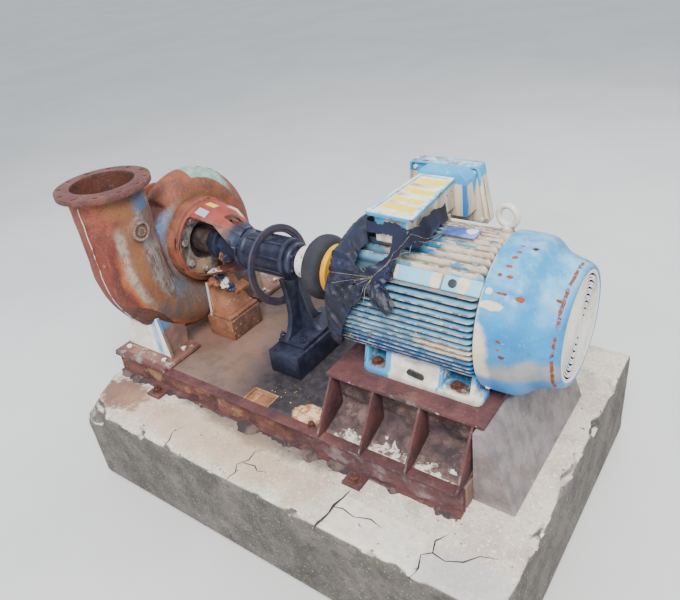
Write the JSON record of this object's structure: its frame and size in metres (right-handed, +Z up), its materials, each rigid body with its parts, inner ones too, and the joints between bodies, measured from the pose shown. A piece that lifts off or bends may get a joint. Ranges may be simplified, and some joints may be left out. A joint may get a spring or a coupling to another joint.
{
  "type": "motor pump set",
  "caption": "Volute water pump driven by an electric motor through a tyre coupling, on a rusty steel base and a concrete plinth",
  "frame": {"origin": "middle of the concrete plinth's underside", "axes": "+X runs along the shaft from the pump towards the motor's fan, +Z is up, and the discharge flange is on the -Y side"},
  "size_m": [2.4, 1.63, 1.609],
  "materials": {
    "concrete": "weathered concrete, cracked and stained",
    "mortar": "rough grout with oil stains",
    "base_steel": "red oxide, rusted",
    "pump_casing": "rusted casting with paint remains",
    "cover_iron": "dirty grey iron",
    "oily_iron": "oily black iron",
    "motor_paint": "flaking sky blue paint",
    "lid_paint": "faded and streaked paint",
    "cream_paint": "cream undercoat, weathered",
    "bare_steel": "dull steel",
    "tyre_rubber": "matte rubber",
    "hub_yellow": "golden yellow paint",
    "fan_plastic": "dusty black",
    "plastic_sheet": "thin black sheet, wrinkled"
  },
  "bodies": {
    "base": {"concrete_plinth": "concrete", "front_channel": "base_steel", "rear_channel": "base_steel", "left_end_plate": "base_steel", "grout_floor": "mortar", "pedestal_core": "mortar", "mortar_slope": "mortar", "motor_top_plate": "base_steel", "front_gusset_1": "base_steel", "front_gusset_2": "base_steel", "front_gusset_3": "base_steel", "front_gusset_4": "base_steel", "rear_gusset_1": "base_steel", "rear_gusset_2": "base_steel", "rear_gusset_3": "base_steel", "rear_gusset_4": "base_steel", "volute_casing": "pump_casing", "discharge_nozzle": "pump_casing", "suction_neck": "pump_casing", "near_volute_foot": "pump_casing", "far_volute_foot": "pump_casing", "near_motor_foot": "motor_paint", "far_motor_foot": "motor_paint", "casing_cover": "cover_iron", "bearing_bracket": "pump_casing", "shaft_gland": "bare_steel", "bearing_housing": "oily_iron", "bearing_end_cover": "oily_iron", "hanging_ring": "oily_iron", "bearing_beam": "oily_iron", "bearing_pedestal": "oily_iron", "cover_block": "pump_casing", "cover_bracket": "pump_casing", "motor_frame": "motor_paint", "drive_end_shield": "motor_paint", "fan_cowl": "motor_paint", "fan_grille": "cream_paint", "lead_box": "motor_paint", "lead_box_lid": "lid_paint", "terminal_box": "motor_paint", "terminal_lid": "motor_paint", "lifting_eye": "cream_paint", "plastic_wrap": "plastic_sheet"},
    "rotor": {"pump_shaft": "bare_steel", "impeller": "bare_steel", "pump_hub": "cream_paint", "coupling_tyre": "tyre_rubber", "motor_hub": "hub_yellow", "motor_shaft": "bare_steel", "cooling_fan": "fan_plastic"}
  },
  "joints": [
    {"name": "shaft_turn", "type": "hinge", "parent": "base", "child": "rotor", "pos_m": [-0.015, 0, 1.154], "axis": [1, 0, 0], "continuous": true}
  ]
}
